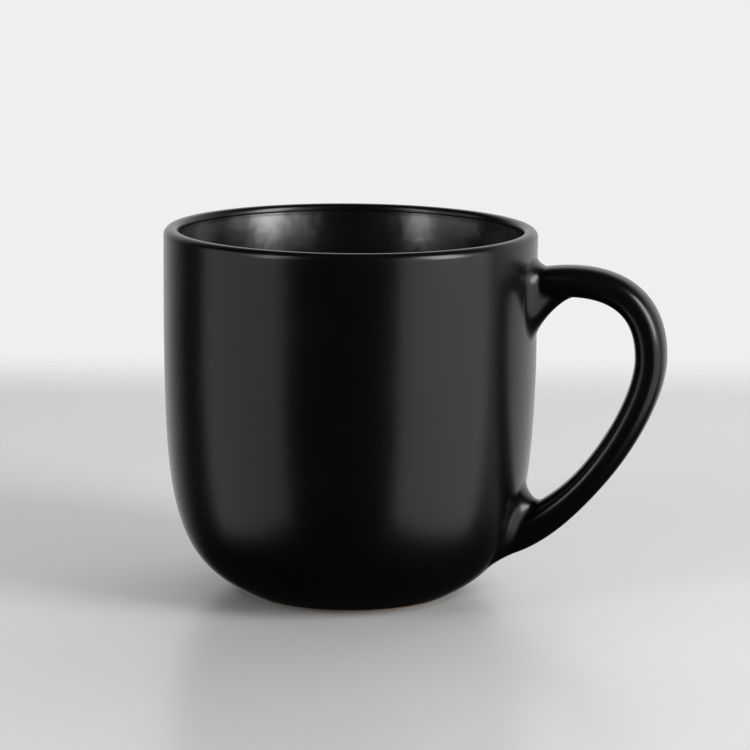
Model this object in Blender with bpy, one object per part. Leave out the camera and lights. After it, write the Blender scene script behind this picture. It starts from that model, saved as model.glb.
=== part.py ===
"""A ceramic mug, built from its clay pieces, the slip joints that hold the handle, and its coats of glaze.

The cup stands on its foot at z = 0, and the handle points along +X. Every piece hangs on one empty on the
cup's axis, placed so that the world origin is under the middle of the mug's whole length.
"""

import functools
import math

import bmesh
import bpy
from mathutils import Vector

MM = 0.001


def in_mm(*points):
    return [tuple(value * MM for value in point) for point in points]


# Cup: outer radius and height over the glaze, and the radius of the round lip.
CUP_RADIUS = 46.0 * MM
CUP_HEIGHT = 90.4 * MM
LIP_RADIUS = 1.8 * MM
LIP_HEIGHT = CUP_HEIGHT - LIP_RADIUS
CAVITY_RADIUS = CUP_RADIUS - 2 * LIP_RADIUS

# Bezier curves as (radius, height): the bowl's outside from the foot to the straight wall, the cavity's
# wall from its flat floor to its narrowest place, and its flare from there to the thin lip.
BOWL_CURVE = in_mm((27.4, 0.6), (41.9, 8.7), (46.0, 18.0), (46.0, 66.0))
CAVITY_CURVE = in_mm((20.0, 8.0), (36.5, 8.0), (40.4, 17.0), (40.4, 60.0))
FLARE_CURVE = in_mm((40.4, 60.0), (40.4, 72.0), (41.0, 81.0), (42.4, 88.2))

# The coats of glaze, and the gap that keeps neighbouring pieces apart.
GLAZE = 0.4 * MM
GAP = 0.3 * MM
CLAY_INSET = GLAZE + GAP

# Foot ring.
FOOT_WIDTH = 3.8 * MM
FOOT_HEIGHT = 3.0 * MM
FOOT_EDGE = 0.6 * MM

# Handle centreline as (distance from the cup's axis, height), in two Bezier curves that meet where the
# handle stands out furthest. The first comes out of the wall, the second goes down into the bowl.
HANDLE_TOP_CURVE = in_mm((44.0, 77.8), (52.4, 80.3), (74.9, 83.4), (74.9, 61.4))
HANDLE_LOW_CURVE = in_mm((74.9, 61.4), (74.9, 48.7), (59.3, 22.3), (40.0, 15.3))

# Strap section: half its width, half its thickness at places along the centreline, and its squareness.
STRAP_HALF_WIDTH = 5.8 * MM
STRAP_HALF_THICKNESS = [(0.0, 3.8 * MM), (1.0, 3.8 * MM), (1.6, 3.6 * MM), (2.0, 4.7 * MM)]
STRAP_SQUARENESS = 2.5

# Each root spreads from the strap onto the wall, round a middle at this height. Its outer side faces up
# the wall (1) or down it (-1). "starts" is how far from the wall the spreading starts, "strap" how far the
# bare strap would reach along the wall, and "fillet" how far the fillet reaches, each for the outer side,
# the flanks and the finger side. "rounding" is how full the fillet is, and "search" the stretch of
# centreline on which it starts.
ROOTS = {
    "upper": {
        "height": 78.3 * MM,
        "outer_side": 1,
        "starts": (3.0 * MM, 3.0 * MM, 10.5 * MM),
        "strap": (3.9 * MM, 5.8 * MM, 3.9 * MM),
        "fillet": (6.8 * MM, 9.4 * MM, 14.4 * MM),
        "rounding": 0.34,
        "search": (0.5, -0.6),
    },
    "lower": {
        "height": 15.6 * MM,
        "outer_side": -1,
        "starts": (3.4 * MM, 3.2 * MM, 5.0 * MM),
        "strap": (6.0 * MM, 5.8 * MM, 10.0 * MM),
        "fillet": (10.2 * MM, 9.2 * MM, 14.6 * MM),
        "rounding": 0.5,
        "search": (1.6, 2.15),
    },
}

# The slip pad lies on the clay wall in the glaze's window and stands proud of it. The strap ends over it.
# Roots go on inside the wall, and window cutters reach outside it, past the faces that are cut.
PAD_PROUD = 0.4 * MM
STRAP_END = PAD_PROUD + GAP
ROOT_DEPTH = 1.5 * MM
WINDOW_REACH = 7.0 * MM

# Facets.
TURNED_STEPS = 44
BOWL_STEPS = 14
CAVITY_STEPS = 9
FLARE_STEPS = 4
LIP_STEPS = 6
STRAP_SIDES = 20
STRAP_STEPS = 22
ROOT_STEPS = 6

# Looks: colour and roughness.
STONEWARE = ("stoneware", (0.36, 0.25, 0.16), 0.85)
SLIP = ("slip", (0.16, 0.12, 0.09), 0.8)
SATIN_GLAZE = ("satin_glaze", (0.010, 0.010, 0.011), 0.38)
GLOSS_GLAZE = ("gloss_glaze", (0.006, 0.006, 0.007), 0.12)


def clear_scene():
    for obj in list(bpy.data.objects):
        bpy.data.objects.remove(obj, do_unlink=True)


# Curves and outlines.


def bezier(points, t):
    weights = ((1 - t) ** 3, 3 * (1 - t) ** 2 * t, 3 * (1 - t) * t**2, t**3)
    return tuple(sum(w * p[i] for w, p in zip(weights, points)) for i in (0, 1))


def bezier_slope(points, t):
    weights = (3 * (1 - t) ** 2, 6 * (1 - t) * t, 3 * t**2)
    steps = [(b[0] - a[0], b[1] - a[1]) for a, b in zip(points, points[1:])]
    return tuple(sum(w * s[i] for w, s in zip(weights, steps)) for i in (0, 1))


def offset_curve(curve, steps, offset):
    """Points along a Bezier curve, moved by this much to the left of its direction."""
    points = []
    for step in range(steps + 1):
        x, z = bezier(curve, step / steps)
        dx, dz = bezier_slope(curve, step / steps)
        length = math.hypot(dx, dz)
        points.append((x - offset * dz / length, z + offset * dx / length))
    return points


@functools.cache
def outer_outline(inset):
    """The cup's outside from the foot up to the lip, this far under the glaze's surface."""
    return [*offset_curve(BOWL_CURVE, BOWL_STEPS, inset), (CUP_RADIUS - inset, LIP_HEIGHT)]


def lip_outline(inset):
    """The lip's half circle from outside to inside, without its two ends."""
    radius = LIP_RADIUS - inset
    angles = [math.pi * step / LIP_STEPS for step in range(1, LIP_STEPS)]
    middle = CUP_RADIUS - LIP_RADIUS
    return [(middle + radius * math.cos(angle), LIP_HEIGHT + radius * math.sin(angle)) for angle in angles]


def cavity_outline(behind, top):
    """The cavity's wall from its floor up to a height, this far behind the liner's surface."""
    wall = offset_curve(CAVITY_CURVE, CAVITY_STEPS, -behind)
    flare = offset_curve(FLARE_CURVE, FLARE_STEPS, -behind)[1:]
    return [*wall, *flare, (CAVITY_RADIUS + behind, top)]


# The wall as a surface to measure from and to place the roots on.


def wall_distance(point):
    """How far a point is outside the glazed wall. It is negative inside the cup."""
    radius = math.hypot(point.x, point.y)
    outline = outer_outline(0.0)
    nearest = math.inf
    for (ar, az), (br, bz) in zip(outline, outline[1:]):
        dr, dz = br - ar, bz - az
        share = ((radius - ar) * dr + (point.z - az) * dz) / (dr * dr + dz * dz)
        share = min(max(share, 0.0), 1.0)
        away = math.hypot(radius - ar - share * dr, point.z - az - share * dz)
        side = (radius - ar) * dz - (point.z - az) * dr
        if away < abs(nearest):
            nearest = math.copysign(away, side)
    return nearest


def wall_length_below(height):
    """Length of the outline from the foot up to a height."""
    length = 0.0
    outline = outer_outline(0.0)
    for (ar, az), (br, bz) in zip(outline, outline[1:]):
        piece = math.hypot(br - ar, bz - az)
        if bz >= height:
            return length + piece * (height - az) / (bz - az)
        length += piece
    return length


def wall_point(up, around, inset):
    """The point this far up along the wall's outline and this far round it, under the glaze's surface."""
    surface, shifted = outer_outline(0.0), outer_outline(inset)
    last = len(surface) - 2
    for index in range(last + 1):
        (ar, az), (br, bz) = surface[index], surface[index + 1]
        piece = math.hypot(br - ar, bz - az)
        if up <= piece or index == last:
            break
        up -= piece
    share = up / piece
    bare_radius = ar + share * (br - ar)
    (ar, az), (br, bz) = shifted[index], shifted[index + 1]
    radius, height = ar + share * (br - ar), az + share * (bz - az)
    angle = around / bare_radius
    return Vector((radius * math.cos(angle), radius * math.sin(angle), height))


# The strap and its roots.


def centreline(place):
    """Point and direction on the handle's centreline. Places 0 to 2 run from the upper end to the lower
    one, and past both ends the line goes straight on."""
    curve = HANDLE_TOP_CURVE if place < 1 else HANDLE_LOW_CURVE
    inside = min(max(place, 0.0), 2.0)
    t = inside if place < 1 else inside - 1
    x, z = bezier(curve, t)
    dx, dz = bezier_slope(curve, t)
    direction = Vector((dx, 0, dz))
    return Vector((x, 0, z)) + (place - inside) * direction, direction.normalized()


def half_thickness(place):
    table = STRAP_HALF_THICKNESS
    for (start, first), (end, last) in zip(table, table[1:]):
        if place <= end:
            return first + max(place - start, 0.0) / (end - start) * (last - first)
    return table[-1][1]


def rounded_square(angle):
    """A point on the unit outline of the strap's section: angle 0 is its outer side, a quarter turn its
    flank and a half turn its finger side."""
    power = 2 / STRAP_SQUARENESS
    return [math.copysign(abs(value) ** power, value) for value in (math.cos(angle), math.sin(angle))]


def by_side(sizes, angle):
    """Blends the sizes for the outer side, the flanks and the finger side round the section."""
    outer, flank, finger = sizes
    share = math.cos(angle) ** 2
    return flank + share * ((outer if math.cos(angle) > 0 else finger) - flank)


def strap_point(place, angle, inset):
    """A point on the bare strap's skin, this far under the glaze's surface."""
    centre, along = centreline(place)
    out, aside = rounded_square(angle)
    outward = Vector((-along.z, 0, along.x)) * (half_thickness(place) - inset) * out
    return centre + outward + Vector((0, (STRAP_HALF_WIDTH - inset) * aside, 0))


def foot_point(name, kind, angle, inset, spread=0.0):
    """A point on the wall round a root, at the reach of its bare strap or of its fillet."""
    root = ROOTS[name]
    outer, flank, finger = root[kind]
    out, aside = rounded_square(angle)
    reach = (outer if out > 0 else finger) + spread
    up = wall_length_below(root["height"]) + root["outer_side"] * reach * out
    return wall_point(up, (flank + spread) * aside, inset)


@functools.cache
def start_of_root(name, angle):
    """The place where the strap's skin at this angle comes near enough to the wall to start spreading."""
    root = ROOTS[name]
    outside, inside = root["search"]
    for _ in range(25):
        middle = (outside + inside) / 2
        if wall_distance(strap_point(middle, angle, 0.0)) > by_side(root["starts"], angle):
            outside = middle
        else:
            inside = middle
    return outside


def root_point(name, angle, share, inset):
    """From the strap at share 0 to the wall at share 1, leaving and arriving smoothly."""
    place = start_of_root(name, angle)
    start = strap_point(place, angle, inset)
    corner = foot_point(name, "strap", angle, inset)
    end = foot_point(name, "fillet", angle, inset)
    along = centreline(place)[1] * -ROOTS[name]["outer_side"]
    leave = start + along * ROOTS[name]["rounding"] * (corner - start).length
    arrive = end + ROOTS[name]["rounding"] * (corner - end)
    weights = ((1 - share) ** 3, 3 * (1 - share) ** 2 * share, 3 * (1 - share) * share**2, share**3)
    return sum((w * p for w, p in zip(weights, (start, leave, arrive, end))), Vector())


ANGLES = [math.tau * side / STRAP_SIDES for side in range(STRAP_SIDES)]


def root_rings(name, inset):
    """Rings from the strap onto the wall, and a last ring inside the wall."""
    rings = []
    for step in range(ROOT_STEPS + 1):
        rings.append([root_point(name, angle, step / ROOT_STEPS, inset) for angle in ANGLES])
    rings.append([foot_point(name, "fillet", angle, inset + ROOT_DEPTH) for angle in ANGLES])
    return rings


def strap_rings(inset):
    """The whole handle, from inside the wall at the upper root to inside the bowl at the lower one."""
    ends = [(start_of_root("upper", angle), start_of_root("lower", angle)) for angle in ANGLES]
    middle = []
    for step in range(1, STRAP_STEPS):
        share = step / STRAP_STEPS
        places = [upper + share * (lower - upper) for upper, lower in ends]
        middle.append([strap_point(place, angle, inset) for place, angle in zip(places, ANGLES)])
    return root_rings("upper", inset)[::-1] + middle + root_rings("lower", inset)


# Meshes and objects.


def turned(outline):
    """An outline of (radius, height) points, spun round the cup's axis. It is closed where it is off it."""
    bm = bmesh.new()
    verts = [bm.verts.new((radius, 0.0, height)) for radius, height in outline]
    edges = [bm.edges.new(pair) for pair in zip(verts, verts[1:])]
    if outline[0][0] > 0:
        edges.append(bm.edges.new((verts[-1], verts[0])))
    around = {"axis": (0, 0, 1), "cent": (0, 0, 0), "angle": math.tau, "steps": TURNED_STEPS}
    bmesh.ops.spin(bm, geom=verts + edges, use_merge=True, **around)
    bmesh.ops.remove_doubles(bm, verts=bm.verts, dist=0.001 * MM)
    return bm


def skin_rings(bm, rings):
    """Joins rings of points by quads, and returns the vertices of the first and the last ring."""
    loops = [[bm.verts.new(point) for point in ring] for ring in rings]
    for here, there in zip(loops, loops[1:]):
        for side in range(len(here)):
            after = (side + 1) % len(here)
            bm.faces.new((here[side], here[after], there[after], there[side]))
    return loops[0], loops[-1]


def solid_loft(rings):
    bm = bmesh.new()
    for end in skin_rings(bm, rings):
        bm.faces.new(end)
    return bm


def tube_loft(outer, inner):
    """A shell between two sets of rings, open at both ends."""
    bm = bmesh.new()
    for out_end, in_end in zip(skin_rings(bm, outer), skin_rings(bm, inner)):
        for side in range(len(out_end)):
            after = (side + 1) % len(out_end)
            bm.faces.new((out_end[side], out_end[after], in_end[after], in_end[side]))
    return bm


def new_material(look):
    name, colour, roughness = look
    material = bpy.data.materials.get(name)
    if material:
        return material
    material = bpy.data.materials.new(name)
    material.use_nodes = True
    shader = material.node_tree.nodes["Principled BSDF"]
    shader.inputs["Base Color"].default_value = (*colour, 1.0)
    shader.inputs["Roughness"].default_value = roughness
    shader.inputs["Metallic"].default_value = 0.0
    return material


def new_piece(name, bm, look, axis):
    """A named object on the cup's axis, with outward faces."""
    bmesh.ops.recalc_face_normals(bm, faces=bm.faces)
    mesh = bpy.data.meshes.new(name)
    bm.to_mesh(mesh)
    bm.free()
    mesh.shade_smooth()
    mesh.set_sharp_from_angle(angle=math.radians(40))
    mesh.materials.append(new_material(look))
    piece = bpy.data.objects.new(name, mesh)
    piece.parent = axis
    bpy.context.collection.objects.link(piece)
    return piece


def new_cutter(name, bm, axis):
    cutter = new_piece(name, bm, SLIP, axis)
    cutter.hide_render = True
    cutter.display_type = "WIRE"
    return cutter


def cut(piece, cutter, operation="DIFFERENCE"):
    modifier = piece.modifiers.new(f"{operation.lower()} {cutter.name}", "BOOLEAN")
    modifier.operation = operation
    modifier.solver = "EXACT"
    modifier.object = cutter


def filled_cup(inset):
    """The cup's outside as one solid without a cavity, to cut other pieces to the wall's shape."""
    outline = outer_outline(inset)
    return turned([(0.0, outline[0][1]), *outline, (0.0, outline[-1][1])])


# The mug's pieces.


def make_cup(axis):
    inner = cavity_outline(CLAY_INSET, LIP_HEIGHT)
    outer = outer_outline(CLAY_INSET)
    underside = FOOT_HEIGHT + GAP
    outline = [(0.0, underside), (outer[0][0], underside), *outer, *lip_outline(CLAY_INSET), *inner[::-1]]
    outline.append((0.0, inner[0][1]))
    new_piece("cup_body", turned(outline), STONEWARE, axis)


def make_foot_ring(axis):
    outside = outer_outline(CLAY_INSET)[0][0] - GAP
    inside = outside - FOOT_WIDTH
    corner = FOOT_EDGE * (1 - math.sqrt(0.5))
    outline = [
        (inside + FOOT_EDGE, 0.0),
        (outside - FOOT_EDGE, 0.0),
        (outside - corner, corner),
        (outside, FOOT_EDGE),
        (outside, FOOT_HEIGHT),
        (inside, FOOT_HEIGHT),
        (inside, FOOT_EDGE),
        (inside + corner, corner),
    ]
    new_piece("foot_ring", turned(outline), STONEWARE, axis)


def make_base_glaze(axis):
    radius = outer_outline(CLAY_INSET)[0][0] - FOOT_WIDTH - 2 * GAP
    bottom, top = FOOT_HEIGHT - GLAZE, FOOT_HEIGHT
    outline = [(0.0, bottom), (radius, bottom), (radius, top), (0.0, top)]
    new_piece("base_glaze", turned(outline), SATIN_GLAZE, axis)


def make_liner_glaze(axis):
    behind = cavity_outline(GLAZE, LIP_HEIGHT - GAP)
    surface = cavity_outline(0.0, LIP_HEIGHT - GAP)
    outline = [(0.0, behind[0][1]), *behind, *surface[::-1], (0.0, surface[0][1])]
    new_piece("liner_glaze", turned(outline), GLOSS_GLAZE, axis)


def make_body_glaze(axis):
    """The coat over the wall and the lip, with a window for each luting joint."""
    surface = [*outer_outline(0.0), *lip_outline(0.0), (CAVITY_RADIUS, LIP_HEIGHT)]
    behind = [*outer_outline(GLAZE), *lip_outline(GLAZE), (CAVITY_RADIUS + GLAZE, LIP_HEIGHT)]
    coat = new_piece("body_glaze", turned(surface + behind[::-1]), SATIN_GLAZE, axis)
    for name in ROOTS:
        rings = []
        for inset in (-WINDOW_REACH, ROOT_DEPTH):
            rings.append([foot_point(name, "fillet", angle, inset, GAP) for angle in ANGLES])
        cut(coat, new_cutter(f"{name}_window_cutter", solid_loft(rings), axis))


def make_luting_joints(axis):
    """Pads of slip that follow the wall, each cut from a root between two filled cups."""
    under_pads = new_cutter("under_pads_cutter", filled_cup(CLAY_INSET - GAP), axis)
    over_pads = new_cutter("over_pads_cutter", filled_cup(-PAD_PROUD), axis)
    for name in ROOTS:
        pad = new_piece(f"{name}_luting_joint", solid_loft(root_rings(name, 0.0)), SLIP, axis)
        cut(pad, over_pads, "INTERSECT")
        cut(pad, under_pads)


def make_handle(axis):
    """The clay strap and the glaze round it, both coped to the wall over the slip pads."""
    end_cutter = new_cutter("strap_end_cutter", filled_cup(-STRAP_END), axis)
    core = new_piece("handle_core", solid_loft(strap_rings(CLAY_INSET)), STONEWARE, axis)
    coat = new_piece("handle_glaze", tube_loft(strap_rings(0.0), strap_rings(GLAZE)), SATIN_GLAZE, axis)
    for piece in (core, coat):
        cut(piece, end_cutter)


def main():
    clear_scene()
    handle_reach = centreline(1.0)[0].x + half_thickness(1.0)
    axis = bpy.data.objects.new("cup_axis", None)
    axis.location = ((CUP_RADIUS - handle_reach) / 2, 0.0, 0.0)
    bpy.context.collection.objects.link(axis)
    make_cup(axis)
    make_foot_ring(axis)
    make_base_glaze(axis)
    make_liner_glaze(axis)
    make_body_glaze(axis)
    make_luting_joints(axis)
    make_handle(axis)


main()
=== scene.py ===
"""Looks for the ceramic mug: finely turned glaze and foot, one smooth handle with its roots, the glazes'
and the bare clay's materials, and a pale table in soft light.

Pieces are modelled round the cup's axis, with the handle along +X, and then stand on that axis in the
frame. The driving dimensions are the CAD model's.
"""

import functools
import math

import bmesh
import bpy
from mathutils import Euler, Matrix, Vector


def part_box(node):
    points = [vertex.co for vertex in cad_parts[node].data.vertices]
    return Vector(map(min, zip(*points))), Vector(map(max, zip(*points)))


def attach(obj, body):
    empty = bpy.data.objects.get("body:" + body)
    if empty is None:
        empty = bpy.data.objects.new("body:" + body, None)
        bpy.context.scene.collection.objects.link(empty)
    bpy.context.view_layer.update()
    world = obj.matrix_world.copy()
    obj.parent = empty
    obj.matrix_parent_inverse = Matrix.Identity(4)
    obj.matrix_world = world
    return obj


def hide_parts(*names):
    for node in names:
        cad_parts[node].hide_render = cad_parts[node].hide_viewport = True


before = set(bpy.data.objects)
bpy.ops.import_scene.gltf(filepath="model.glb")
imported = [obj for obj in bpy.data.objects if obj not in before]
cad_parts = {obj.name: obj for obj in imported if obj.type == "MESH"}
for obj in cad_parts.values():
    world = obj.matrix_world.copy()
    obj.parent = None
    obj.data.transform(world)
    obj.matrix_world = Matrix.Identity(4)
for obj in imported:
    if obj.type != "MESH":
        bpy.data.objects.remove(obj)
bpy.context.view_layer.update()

MM = 0.001


def in_mm(*points):
    return [tuple(value * MM for value in point) for point in points]


# The cup, as in the CAD model.
CUP_RADIUS = 46.0 * MM
CUP_HEIGHT = 90.4 * MM
LIP_RADIUS = 1.8 * MM
LIP_HEIGHT = CUP_HEIGHT - LIP_RADIUS
LIP_SQUARENESS = 2.8
CAVITY_RADIUS = CUP_RADIUS - 2 * LIP_RADIUS
BOWL_CURVE = in_mm((27.4, 0.6), (41.9, 8.7), (46.0, 18.0), (46.0, 66.0))
CAVITY_CURVE = in_mm((20.0, 8.0), (36.5, 8.0), (40.4, 17.0), (40.4, 60.0))
FLARE_CURVE = in_mm((40.4, 60.0), (40.4, 72.0), (41.0, 81.0), (42.4, 88.2))
GLAZE = 0.4 * MM

# Foot ring and the glazed recess inside it.
FOOT_OUTSIDE = 26.76 * MM
FOOT_INSIDE = 22.96 * MM
FOOT_TOP = 3.0 * MM
FOOT_EDGE = 0.6 * MM
FOOT_GROOVES = 5
FOOT_GROOVE_DEPTH = 0.04 * MM
RECESS_TOP = 2.6 * MM
RECESS_CORNER = 1.5 * MM
RECESS_RADIUS = 22.9 * MM
RECESS_GLAZE_END = 0.9 * MM

# The handle's centreline, section and roots, as in the CAD model.
HANDLE_TOP_CURVE = in_mm((44.0, 77.8), (52.4, 80.3), (74.9, 83.4), (74.9, 61.4))
HANDLE_LOW_CURVE = in_mm((74.9, 61.4), (74.9, 48.7), (59.3, 22.3), (40.0, 15.3))
STRAP_HALF_WIDTH = 5.8 * MM
STRAP_HALF_THICKNESS = [(0.0, 3.8 * MM), (1.0, 3.8 * MM), (1.6, 3.6 * MM), (2.0, 4.7 * MM)]
STRAP_SQUARENESS = 2.5
ROOTS = {
    "upper": {
        "height": 78.3 * MM,
        "outer_side": 1,
        "starts": (3.0 * MM, 3.0 * MM, 10.5 * MM),
        "strap": (3.9 * MM, 5.8 * MM, 3.9 * MM),
        "fillet": (6.8 * MM, 9.4 * MM, 14.4 * MM),
        "rounding": 0.34,
        "search": (0.5, -0.6),
    },
    "lower": {
        "height": 15.6 * MM,
        "outer_side": -1,
        "starts": (3.4 * MM, 3.2 * MM, 5.0 * MM),
        "strap": (6.0 * MM, 5.8 * MM, 10.0 * MM),
        "fillet": (10.2 * MM, 9.2 * MM, 14.6 * MM),
        "rounding": 0.5,
        "search": (1.6, 2.15),
    },
}
ROOT_DEPTH = 1.5 * MM

# Fired clay is never quite true: size of each ripple, lobes round the axis, waves up the wall, and phase.
RIPPLES = [(0.050 * MM, 2, 0.6, 0.4), (0.035 * MM, 3, 1.4, 2.1), (0.020 * MM, 5, 2.3, 4.0)]

# Fineness.
TURNED_STEPS = 256
BOWL_STEPS = 90
CAVITY_STEPS = 60
FLARE_STEPS = 30
WALL_STEPS = 24
LIP_STEPS = 28
EDGE_STEPS = 6
STRAP_SIDES = 80
STRAP_STEPS = 130
ROOT_STEPS = 26

# The whole view is taken from this far round towards the handle.
VIEW_TURN = math.radians(14.0)

# Camera: its place from the cup's axis, its turn down, to the right and about its own axis, and its lens.
CAMERA_PLACE = Vector((0.0, -0.750, 0.1956))
CAMERA_PITCH = math.radians(-10.73)
CAMERA_YAW = math.radians(0.474)
CAMERA_ROLL = math.radians(0.52)
CAMERA_LENS = 147.9

# Table: its middle, half width and half depth, where it fades out along each, and its fineness.
TABLE_MIDDLE = Vector((0.0, 0.045, 0.0))
TABLE_SIZE = (1.4, 0.30)
TABLE_FADE = {"X": (1.0, 1.35), "Y": (0.19, 0.285)}
TABLE_STEPS = 48


# Curves and outlines, each a list of (radius, height).


def bezier(points, t):
    weights = ((1 - t) ** 3, 3 * (1 - t) ** 2 * t, 3 * (1 - t) * t**2, t**3)
    return tuple(sum(w * p[i] for w, p in zip(weights, points)) for i in (0, 1))


def bezier_slope(points, t):
    weights = (3 * (1 - t) ** 2, 6 * (1 - t) * t, 3 * t**2)
    steps = [(b[0] - a[0], b[1] - a[1]) for a, b in zip(points, points[1:])]
    return tuple(sum(w * s[i] for w, s in zip(weights, steps)) for i in (0, 1))


def offset_curve(curve, steps, offset):
    """Points along a Bezier curve, moved by this much to the left of its direction."""
    points = []
    for step in range(steps + 1):
        x, z = bezier(curve, step / steps)
        dx, dz = bezier_slope(curve, step / steps)
        length = math.hypot(dx, dz)
        points.append((x - offset * dz / length, z + offset * dx / length))
    return points


def straight(start, end, steps):
    """Points after the start of a straight run, up to its end."""
    shares = [step / steps for step in range(1, steps + 1)]
    return [tuple(a + share * (b - a) for a, b in zip(start, end)) for share in shares]


def arc(centre, radius, first, last, steps):
    """Points on an arc between two angles, with both its ends."""
    angles = [first + (last - first) * step / steps for step in range(steps + 1)]
    return [(centre[0] + radius * math.cos(a), centre[1] + radius * math.sin(a)) for a in angles]


def rounded_end(start, end):
    """The half circle from one skin of a coat to the other, without its ends, turning to the left."""
    middle = tuple((a + b) / 2 for a, b in zip(start, end))
    first = math.atan2(start[1] - middle[1], start[0] - middle[0])
    return arc(middle, math.dist(start, end) / 2, first, first + math.pi, EDGE_STEPS)[1:-1]


@functools.cache
def outer_outline(inset):
    """The cup's outside from the foot up to the lip, this far under the glaze's surface."""
    bowl = offset_curve(BOWL_CURVE, BOWL_STEPS, inset)
    return [*bowl, *straight(bowl[-1], (CUP_RADIUS - inset, LIP_HEIGHT), WALL_STEPS)]


def lip_outline(inset):
    """The lip from outside to inside, without its two ends. It is round outside and squarer inside."""
    middle, radius = CUP_RADIUS - LIP_RADIUS, LIP_RADIUS - inset
    outer = arc((middle, LIP_HEIGHT), radius, 0.0, math.pi / 2, LIP_STEPS // 2)[1:]
    power = 2 / LIP_SQUARENESS
    inner = []
    for step in range(1, LIP_STEPS // 2):
        turn = math.pi * step / LIP_STEPS
        away, up = math.sin(turn) ** power, math.cos(turn) ** power
        inner.append((middle - radius * away, LIP_HEIGHT + radius * up))
    return outer + inner


def cavity_outline(behind, top):
    """The cavity's wall from its floor up to a height, this far behind the liner's surface."""
    wall = offset_curve(CAVITY_CURVE, CAVITY_STEPS, -behind)
    flare = offset_curve(FLARE_CURVE, FLARE_STEPS, -behind)[1:]
    return [*wall, *flare, (CAVITY_RADIUS + behind, top)]


# The wall as a surface to measure from and to place the roots on.


def wall_distance(point):
    """How far a point is outside the glazed wall. It is negative inside the cup."""
    radius = math.hypot(point.x, point.y)
    outline = outer_outline(0.0)
    nearest = math.inf
    for (ar, az), (br, bz) in zip(outline, outline[1:]):
        dr, dz = br - ar, bz - az
        share = ((radius - ar) * dr + (point.z - az) * dz) / (dr * dr + dz * dz)
        share = min(max(share, 0.0), 1.0)
        away = math.hypot(radius - ar - share * dr, point.z - az - share * dz)
        side = (radius - ar) * dz - (point.z - az) * dr
        if away < abs(nearest):
            nearest = math.copysign(away, side)
    return nearest


def wall_length_below(height):
    """Length of the outline from the foot up to a height."""
    length = 0.0
    outline = outer_outline(0.0)
    for (ar, az), (br, bz) in zip(outline, outline[1:]):
        piece = math.hypot(br - ar, bz - az)
        if bz >= height:
            return length + piece * (height - az) / (bz - az)
        length += piece
    return length


def wall_point(up, around, inset):
    """The point this far up along the wall's outline and this far round it, under the glaze's surface."""
    surface, shifted = outer_outline(0.0), outer_outline(inset)
    last = len(surface) - 2
    for index in range(last + 1):
        (ar, az), (br, bz) = surface[index], surface[index + 1]
        piece = math.hypot(br - ar, bz - az)
        if up <= piece or index == last:
            break
        up -= piece
    share = up / piece
    bare_radius = ar + share * (br - ar)
    (ar, az), (br, bz) = shifted[index], shifted[index + 1]
    radius, height = ar + share * (br - ar), az + share * (bz - az)
    angle = around / bare_radius
    return Vector((radius * math.cos(angle), radius * math.sin(angle), height))


# The strap and its roots.


def centreline(place):
    """Point and direction on the handle's centreline. Places 0 to 2 run from the upper end to the lower
    one, and past both ends the line goes straight on."""
    curve = HANDLE_TOP_CURVE if place < 1 else HANDLE_LOW_CURVE
    inside = min(max(place, 0.0), 2.0)
    t = inside if place < 1 else inside - 1
    x, z = bezier(curve, t)
    dx, dz = bezier_slope(curve, t)
    direction = Vector((dx, 0, dz))
    return Vector((x, 0, z)) + (place - inside) * direction, direction.normalized()


def half_thickness(place):
    table = STRAP_HALF_THICKNESS
    for (start, first), (end, last) in zip(table, table[1:]):
        if place <= end:
            share = max(place - start, 0.0) / (end - start)
            return first + share * share * (3 - 2 * share) * (last - first)
    return table[-1][1]


def rounded_square(angle):
    """A point on the unit outline of the strap's section: angle 0 is its outer side, a quarter turn its
    flank and a half turn its finger side."""
    power = 2 / STRAP_SQUARENESS
    return [math.copysign(abs(value) ** power, value) for value in (math.cos(angle), math.sin(angle))]


def by_side(sizes, angle):
    """Blends the sizes for the outer side, the flanks and the finger side round the section."""
    outer, flank, finger = sizes
    share = math.cos(angle) ** 2
    return flank + share * ((outer if math.cos(angle) > 0 else finger) - flank)


def strap_point(place, angle):
    """A point on the bare strap's skin."""
    centre, along = centreline(place)
    out, aside = rounded_square(angle)
    outward = Vector((-along.z, 0, along.x)) * half_thickness(place) * out
    return centre + outward + Vector((0, STRAP_HALF_WIDTH * aside, 0))


def foot_point(name, kind, angle, inset=0.0):
    """A point on the wall round a root, at the reach of its bare strap or of its fillet."""
    root = ROOTS[name]
    outer, flank, finger = root[kind]
    out, aside = rounded_square(angle)
    reach = outer if out > 0 else finger
    up = wall_length_below(root["height"]) + root["outer_side"] * reach * out
    return wall_point(up, flank * aside, inset)


@functools.cache
def start_of_root(name, angle):
    """The place where the strap's skin at this angle comes near enough to the wall to start spreading."""
    root = ROOTS[name]
    outside, inside = root["search"]
    for _ in range(25):
        middle = (outside + inside) / 2
        if wall_distance(strap_point(middle, angle)) > by_side(root["starts"], angle):
            outside = middle
        else:
            inside = middle
    return outside


def root_curve(name, angle):
    """The cubic curve of a root at this angle: from the strap, along it, to the wall, along the wall."""
    place = start_of_root(name, angle)
    start = strap_point(place, angle)
    corner = foot_point(name, "strap", angle)
    end = foot_point(name, "fillet", angle)
    rounding = ROOTS[name]["rounding"]
    along = centreline(place)[1] * -ROOTS[name]["outer_side"]
    out_of_wall = (foot_point(name, "fillet", angle, -MM) - end).normalized()
    back = corner - end
    back -= back.dot(out_of_wall) * out_of_wall
    return start, start + along * rounding * (corner - start).length, end + rounding * back, end


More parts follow.
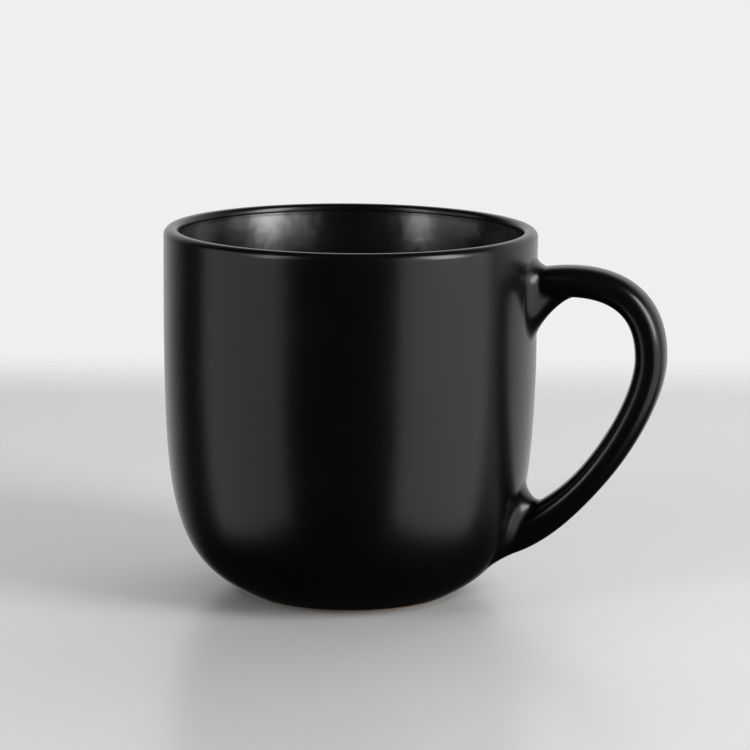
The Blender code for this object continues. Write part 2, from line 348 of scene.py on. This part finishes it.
def root_rings(name):
    """Rings from the strap onto the wall, and a last ring inside the wall."""
    curves = [root_curve(name, angle) for angle in ANGLES]
    rings = []
    for step in range(ROOT_STEPS + 1):
        t = step / ROOT_STEPS
        weights = ((1 - t) ** 3, 3 * (1 - t) ** 2 * t, 3 * (1 - t) * t**2, t**3)
        rings.append([sum((w * p for w, p in zip(weights, curve)), Vector()) for curve in curves])
    rings.append([foot_point(name, "fillet", angle, ROOT_DEPTH) for angle in ANGLES])
    return rings


def strap_rings():
    """The whole handle, from inside the wall at the upper root to inside the bowl at the lower one."""
    ends = [(start_of_root("upper", angle), start_of_root("lower", angle)) for angle in ANGLES]
    middle = []
    for step in range(1, STRAP_STEPS):
        share = step / STRAP_STEPS
        places = [upper + share * (lower - upper) for upper, lower in ends]
        middle.append([strap_point(place, angle) for place, angle in zip(places, ANGLES)])
    return root_rings("upper")[::-1] + middle + root_rings("lower")


ANGLES = [math.tau * side / STRAP_SIDES for side in range(STRAP_SIDES)]


# Meshes and objects.


def turned(outline):
    """An outline of (radius, height) points, spun round the cup's axis. It is closed where it is off it."""
    bm = bmesh.new()
    verts = [bm.verts.new((radius, 0.0, height)) for radius, height in outline]
    edges = [bm.edges.new(pair) for pair in zip(verts, verts[1:])]
    if outline[0][0] > 0:
        edges.append(bm.edges.new((verts[-1], verts[0])))
    around = {"axis": (0, 0, 1), "cent": (0, 0, 0), "angle": math.tau, "steps": TURNED_STEPS}
    bmesh.ops.spin(bm, geom=verts + edges, use_merge=True, **around)
    bmesh.ops.remove_doubles(bm, verts=bm.verts, dist=0.001 * MM)
    return bm


def lofted(rings):
    """A closed solid through rings of points."""
    bm = bmesh.new()
    loops = [[bm.verts.new(point) for point in ring] for ring in rings]
    for here, there in zip(loops, loops[1:]):
        for side in range(len(here)):
            after = (side + 1) % len(here)
            bm.faces.new((here[side], here[after], there[after], there[side]))
    bm.faces.new(loops[0])
    bm.faces.new(loops[-1])
    return bm


def settle(bm):
    """Moves each point in or out a little, by its place alone, so that neighbouring pieces still meet."""
    for vert in bm.verts:
        outward = Vector((vert.co.x, vert.co.y, 0))
        if outward.length < MM:
            continue
        turn, up = math.atan2(vert.co.y, vert.co.x), vert.co.z / CUP_HEIGHT
        ripple = 0.0
        for size, lobes, waves, phase in RIPPLES:
            ripple += size * math.sin(lobes * turn + waves * math.tau * up + phase)
        vert.co += outward.normalized() * ripple * min(up * 4, 1)


def new_piece(name, bm, material, slot, *nodes):
    """A named piece on the cup's axis that stands for these CAD nodes."""
    settle(bm)
    bmesh.ops.recalc_face_normals(bm, faces=bm.faces)
    mesh = bpy.data.meshes.new(name)
    bm.to_mesh(mesh)
    bm.free()
    mesh.shade_smooth()
    mesh.set_sharp_from_angle(angle=math.radians(50))
    mesh.materials.append(material)
    piece = bpy.data.objects.new(name, mesh)
    piece.location = cup_axis()
    bpy.context.collection.objects.link(piece)
    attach(piece, "root")
    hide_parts(*nodes)
    return piece


@functools.cache
def cup_axis():
    """Where the cup's axis meets the table."""
    low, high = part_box("cup_body")
    return Vector(((low.x + high.x) / 2, (low.y + high.y) / 2, 0.0))


# Materials.

# A satin skin throws back less of the light in its sheen than a gloss one.
SATIN_SPECULAR = 0.35


def new_material(name, roughness):
    """A material, its node tree and its shader. The glazes and the clay vary their roughness from there."""
    material = bpy.data.materials.new(name)
    material.use_nodes = True
    shader = material.node_tree.nodes["Principled BSDF"]
    shader.inputs["Roughness"].default_value = roughness
    return material, material.node_tree, shader


def add(tree, kind, settings=None, **inputs):
    """A node with its settings and its inputs, each a value or another node's socket."""
    node = tree.nodes.new(kind)
    for name, value in (settings or {}).items():
        setattr(node, name, value)
    for name, value in inputs.items():
        socket = node.inputs[name.replace("_", " ")]
        if isinstance(value, bpy.types.NodeSocket):
            tree.links.new(value, socket)
        else:
            socket.default_value = value
    return node


def places(tree):
    return add(tree, "ShaderNodeTexCoord").outputs["Object"]


def noise(tree, size, detail=2.0, roughness=0.5):
    """Noise from 0 to 1 whose features are about this many metres wide."""
    settings = {"Scale": 1 / size, "Detail": detail, "Roughness": roughness}
    return add(tree, "ShaderNodeTexNoise", Vector=places(tree), **settings).outputs["Fac"]


def dots(tree, spacing, radius):
    """Is 1 in small round dots about this far apart, and 0 between them."""
    cells = add(tree, "ShaderNodeTexVoronoi", Vector=places(tree), Scale=1 / spacing)
    return remap(tree, cells.outputs["Distance"], radius / spacing, 0.6 * radius / spacing, 0.0, 1.0)


def remap(tree, value, low, high, to_low, to_high):
    ranges = {"From_Min": low, "From_Max": high, "To_Min": to_low, "To_Max": to_high}
    return add(tree, "ShaderNodeMapRange", Value=value, **ranges).outputs["Result"]


def smooth(tree, value, low, high):
    """Runs smoothly from 0 at the low value to 1 at the high one."""
    settings = {"interpolation_type": "SMOOTHSTEP"}
    node = add(tree, "ShaderNodeMapRange", settings, Value=value, From_Min=low, From_Max=high)
    return node.outputs["Result"]


def mix(tree, share, first, second):
    node = add(tree, "ShaderNodeMix", {"data_type": "RGBA"}, Factor=share)
    for socket, value in ((node.inputs[6], first), (node.inputs[7], second)):
        if isinstance(value, bpy.types.NodeSocket):
            tree.links.new(value, socket)
        else:
            socket.default_value = (*value, 1.0)
    return node.outputs[2]


def bump(tree, height, depth, below=None):
    """Bump of this depth in metres on top of another."""
    node = add(tree, "ShaderNodeBump", Height=height, Strength=1.0, Distance=depth)
    if below:
        tree.links.new(below, node.inputs["Normal"])
    return node.outputs["Normal"]


def math_node(tree, operation, first, second):
    node = add(tree, "ShaderNodeMath", {"operation": operation})
    for socket, value in zip(node.inputs, (first, second)):
        if isinstance(value, bpy.types.NodeSocket):
            tree.links.new(value, socket)
        else:
            socket.default_value = value
    return node.outputs[0]


@functools.cache
def satin_glaze():
    """Black satin glaze: faintly mottled, with a fine skin, a few pinholes and a softer sheen in clouds."""
    material, tree, shader = new_material("satin_black_glaze", 0.25)
    clouds = noise(tree, 22 * MM, 3.0, 0.55)
    grain = noise(tree, 0.35 * MM, 2.0)
    skin = noise(tree, 1.6 * MM, 3.0)
    pinholes = dots(tree, 4.5 * MM, 0.10 * MM)
    tone = mix(tree, clouds, (0.0014, 0.0013, 0.0014), (0.0028, 0.0026, 0.0026))
    tree.links.new(mix(tree, pinholes, tone, (0.0005, 0.0005, 0.0005)), shader.inputs["Base Color"])
    sheen = remap(tree, clouds, 0.25, 0.75, 0.22, 0.27)
    fine = remap(tree, grain, 0.2, 0.8, -0.03, 0.03)
    tree.links.new(math_node(tree, "ADD", sheen, fine), shader.inputs["Roughness"])
    surface = bump(tree, skin, 0.012 * MM)
    surface = bump(tree, grain, 0.0035 * MM, surface)
    surface = bump(tree, math_node(tree, "MULTIPLY", pinholes, -1.0), 0.05 * MM, surface)
    tree.links.new(surface, shader.inputs["Normal"])
    shader.inputs["Specular IOR Level"].default_value = SATIN_SPECULAR
    return material


@functools.cache
def gloss_glaze():
    """Black gloss glaze: wavy where it ran, with a slight green in its thin places."""
    material, tree, shader = new_material("gloss_black_glaze", 0.25)
    runs = noise(tree, 9 * MM, 2.0)
    clouds = noise(tree, 14 * MM, 3.0)
    pinholes = dots(tree, 5.0 * MM, 0.09 * MM)
    tone = mix(tree, clouds, (0.0008, 0.0013, 0.0012), (0.0016, 0.0024, 0.0022))
    tree.links.new(tone, shader.inputs["Base Color"])
    tree.links.new(remap(tree, clouds, 0.3, 0.7, 0.22, 0.29), shader.inputs["Roughness"])
    surface = bump(tree, runs, 0.25 * MM)
    surface = bump(tree, math_node(tree, "MULTIPLY", pinholes, -1.0), 0.04 * MM, surface)
    tree.links.new(surface, shader.inputs["Normal"])
    shader.inputs["IOR"].default_value = 1.6
    return material


@functools.cache
def bare_stoneware():
    """Unglazed fired clay: warm brown-grey, sandy, with dark iron specks and pale grog."""
    material, tree, shader = new_material("bare_stoneware", 0.85)
    clouds = noise(tree, 6 * MM, 4.0)
    sand = noise(tree, 0.30 * MM, 3.0)
    iron = dots(tree, 1.7 * MM, 0.16 * MM)
    grog = dots(tree, 1.1 * MM, 0.12 * MM)
    clay = mix(tree, clouds, (0.25, 0.185, 0.125), (0.40, 0.30, 0.205))
    clay = mix(tree, math_node(tree, "MULTIPLY", grog, 0.6), clay, (0.55, 0.47, 0.36))
    clay = mix(tree, iron, clay, (0.06, 0.035, 0.022))
    tree.links.new(clay, shader.inputs["Base Color"])
    tree.links.new(remap(tree, sand, 0.2, 0.8, 0.72, 0.95), shader.inputs["Roughness"])
    surface = bump(tree, clouds, 0.05 * MM)
    tree.links.new(bump(tree, sand, 0.05 * MM, surface), shader.inputs["Normal"])
    return material


def table_top():
    """Pale honed stone that fades into the backdrop at its far edges."""
    material, tree, shader = new_material("pale_table", 0.30)
    clouds = noise(tree, 0.16, 3.0, 0.55)
    tone = mix(tree, clouds, (0.57, 0.565, 0.56), (0.655, 0.65, 0.645))
    tree.links.new(tone, shader.inputs["Base Color"])
    shader.inputs["Specular IOR Level"].default_value = 0.55
    parts = add(tree, "ShaderNodeSeparateXYZ", Vector=places(tree))
    fades = []
    for axis, (start, end) in TABLE_FADE.items():
        away = math_node(tree, "ABSOLUTE", parts.outputs[axis], 0.0)
        fades.append(smooth(tree, away, start, end))
    clear = add(tree, "ShaderNodeBsdfTransparent")
    blend = add(tree, "ShaderNodeMixShader", Fac=math_node(tree, "MAXIMUM", *fades))
    tree.links.new(shader.outputs["BSDF"], blend.inputs[1])
    tree.links.new(clear.outputs["BSDF"], blend.inputs[2])
    tree.links.new(blend.outputs["Shader"], tree.nodes["Material Output"].inputs["Surface"])
    return material


# The mug's pieces.


def make_wall():
    """The satin coat from the foot up the wall and over the lip."""
    surface = [*outer_outline(0.0), *lip_outline(0.0), (CAVITY_RADIUS, LIP_HEIGHT)]
    behind = [*outer_outline(GLAZE), *lip_outline(GLAZE), (CAVITY_RADIUS + GLAZE, LIP_HEIGHT)]
    top = rounded_end(surface[-1], behind[-1])
    bottom = rounded_end(behind[0], surface[0])
    outline = surface + top + behind[::-1] + bottom
    new_piece("satin_wall", turned(outline), satin_glaze(), "satin_glaze", "body_glaze")


def make_liner():
    """The gloss coat inside the cup, which runs into the satin one at the lip."""
    surface = cavity_outline(0.0, LIP_HEIGHT)
    behind = cavity_outline(GLAZE, LIP_HEIGHT)
    round_top = rounded_end(behind[-1], surface[-1])
    outline = [(0.0, behind[0][1]), *behind, *round_top, *surface[::-1], (0.0, surface[0][1])]
    new_piece("gloss_liner", turned(outline), gloss_glaze(), "gloss_glaze", "liner_glaze")


def make_handle():
    """The handle's satin skin with both roots, which run out on the wall."""
    nodes = ("handle_glaze", "upper_luting_joint", "lower_luting_joint")
    new_piece("satin_handle", lofted(strap_rings()), satin_glaze(), "satin_glaze", *nodes)


def make_foot():
    """The bare foot ring, with its edges sponged round and the grooves that turning leaves."""
    inside, outside = FOOT_INSIDE + FOOT_EDGE, FOOT_OUTSIDE - FOOT_EDGE
    steps = 12 * FOOT_GROOVES
    face = []
    for step in range(1, steps):
        share = step / steps
        depth = FOOT_GROOVE_DEPTH * math.sin(math.pi * FOOT_GROOVES * share) ** 2
        face.append((inside + share * (outside - inside), depth))
    inner_edge = arc((inside, FOOT_EDGE), FOOT_EDGE, math.pi, 1.5 * math.pi, 10)
    outer_edge = arc((outside, FOOT_EDGE), FOOT_EDGE, 1.5 * math.pi, math.tau, 10)
    outline = [*inner_edge, *face, *outer_edge, (FOOT_OUTSIDE, FOOT_TOP), (FOOT_INSIDE, FOOT_TOP)]
    new_piece("bare_foot", turned(outline), bare_stoneware(), "stoneware", "foot_ring")


def make_recess():
    """The satin coat under the cup, which runs down onto the foot ring's inner side."""
    turn = RECESS_RADIUS - RECESS_CORNER
    corner = arc((turn, RECESS_TOP - RECESS_CORNER), RECESS_CORNER, math.pi / 2, 0.0, 16)
    behind = arc((turn, RECESS_TOP - RECESS_CORNER), RECESS_CORNER + GLAZE / 2, 0.0, math.pi / 2, 16)
    end, end_behind = (corner[-1][0], RECESS_GLAZE_END), (behind[0][0], RECESS_GLAZE_END)
    drip = rounded_end(end, end_behind)
    outline = [(0.0, RECESS_TOP), *corner, end, *drip, end_behind, *behind, (0.0, behind[-1][1])]
    new_piece("satin_recess", turned(outline), satin_glaze(), "satin_glaze", "base_glaze")


def finish_clay():
    """The CAD model's clay cup and strap stay inside the coats."""
    for name in ("cup_body", "handle_core"):
        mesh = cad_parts[name].data
        mesh.materials.clear()
        mesh.materials.append(bare_stoneware())


# Camera, table and light.


def make_camera():
    data = bpy.data.cameras.new("camera")
    data.lens = CAMERA_LENS
    data.sensor_width = 36.0
    camera = bpy.data.objects.new("camera", data)
    turn = Euler((math.pi / 2 + CAMERA_PITCH, 0.0, -CAMERA_YAW)).to_matrix()
    turn = turn @ Matrix.Rotation(CAMERA_ROLL, 3, "Z")
    place = Matrix.Translation(CAMERA_PLACE) @ turn.to_4x4()
    camera.matrix_world = Matrix.Translation(cup_axis()) @ Matrix.Rotation(VIEW_TURN, 4, "Z") @ place
    bpy.context.collection.objects.link(camera)
    bpy.context.scene.camera = camera


def make_table():
    bm = bmesh.new()
    bmesh.ops.create_grid(bm, x_segments=TABLE_STEPS, y_segments=TABLE_STEPS, size=1.0)
    for vert in bm.verts:
        vert.co = Vector((vert.co.x * TABLE_SIZE[0], vert.co.y * TABLE_SIZE[1], 0.0))
    mesh = bpy.data.meshes.new("table")
    bm.to_mesh(mesh)
    bm.free()
    mesh.materials.append(table_top())
    table = bpy.data.objects.new("table", mesh)
    table.rotation_euler.z = VIEW_TURN
    table.location = Matrix.Rotation(VIEW_TURN, 3, "Z") @ TABLE_MIDDLE
    bpy.context.collection.objects.link(table)
    table.visible_glossy = False


# Soft lights: azimuth from the camera's side (to the right is positive), elevation, distance, width,
# height, brightness of the panel, and whether the glaze mirrors it.
LIGHTS = {
    "right_wall": (60, 0, 0.80, 0.96, 1.10, 1.5, True),
    "right_window": (60, 26, 0.80, 0.30, 0.60, 10.5, True),
    "left_wall": (-69, 0, 0.80, 0.90, 1.10, 1.0, True),
    "left_window": (-51, 26, 0.80, 0.20, 0.60, 4.5, True),
    "back_fill": (150, 40, 1.20, 1.30, 0.70, 1.9, False),
    "ceiling": (180, 80, 1.10, 1.20, 0.80, 0.8, False),
}


def make_lights():
    aim = cup_axis() + Vector((0, 0, CUP_HEIGHT / 2))
    for name, (azimuth, elevation, distance, width, height, brightness, mirrored) in LIGHTS.items():
        a, e = math.radians(azimuth) + VIEW_TURN, math.radians(elevation)
        away = Vector((math.sin(a) * math.cos(e), -math.cos(a) * math.cos(e), math.sin(e)))
        data = bpy.data.lights.new(name, "AREA")
        data.shape = "RECTANGLE"
        data.size, data.size_y = width, height
        data.energy = brightness * math.pi * width * height
        light = bpy.data.objects.new(name, data)
        light.location = aim + away * distance
        light.rotation_euler = away.to_track_quat("Z", "Y").to_euler()
        light.visible_camera = False
        light.visible_glossy = mirrored
        bpy.context.collection.objects.link(light)


# What the glaze mirrors of the room: a bright wall behind and to the right, dark in front and overhead.
# The shares run from the dark side to the bright one, and the other pairs are heights of the direction.
BACKDROP = (0.86, 0.865, 0.875)
DARK_ROOM = (0.012, 0.012, 0.012)
WALL_TO_THE_RIGHT = 0.35
WALL_SHARE = (0.15, 0.90)
OVERHEAD = (0.35, 0.80)
UNDERFOOT = (-0.50, -0.20)


def make_world():
    """A pale backdrop for the camera, and a room that is dark in front for everything else."""
    world = bpy.data.worlds.new("studio")
    world.use_nodes = True
    tree = world.node_tree
    direction = add(tree, "ShaderNodeTexCoord").outputs["Generated"]
    parts = add(tree, "ShaderNodeSeparateXYZ", Vector=direction).outputs
    towards = Matrix.Rotation(VIEW_TURN, 3, "Z") @ Vector((WALL_TO_THE_RIGHT, 1.0, 0.0))
    sideways = math_node(tree, "MULTIPLY", parts["X"], towards.x)
    ahead = math_node(tree, "MULTIPLY", parts["Y"], towards.y)
    wall = smooth(tree, math_node(tree, "ADD", sideways, ahead), *WALL_SHARE)
    low = math_node(tree, "SUBTRACT", 1.0, smooth(tree, parts["Z"], *OVERHEAD))
    level = math_node(tree, "MULTIPLY", low, smooth(tree, parts["Z"], *UNDERFOOT))
    room = mix(tree, math_node(tree, "MULTIPLY", wall, level), DARK_ROOM, BACKDROP)
    seen = add(tree, "ShaderNodeLightPath").outputs["Is Camera Ray"]
    tree.links.new(mix(tree, seen, room, BACKDROP), tree.nodes["Background"].inputs["Color"])
    bpy.context.scene.world = world
    bpy.context.scene.view_settings.view_transform = "Standard"


def main():
    make_wall()
    make_liner()
    make_handle()
    make_foot()
    make_recess()
    finish_clay()
    make_table()
    make_lights()
    make_world()
    make_camera()


main()
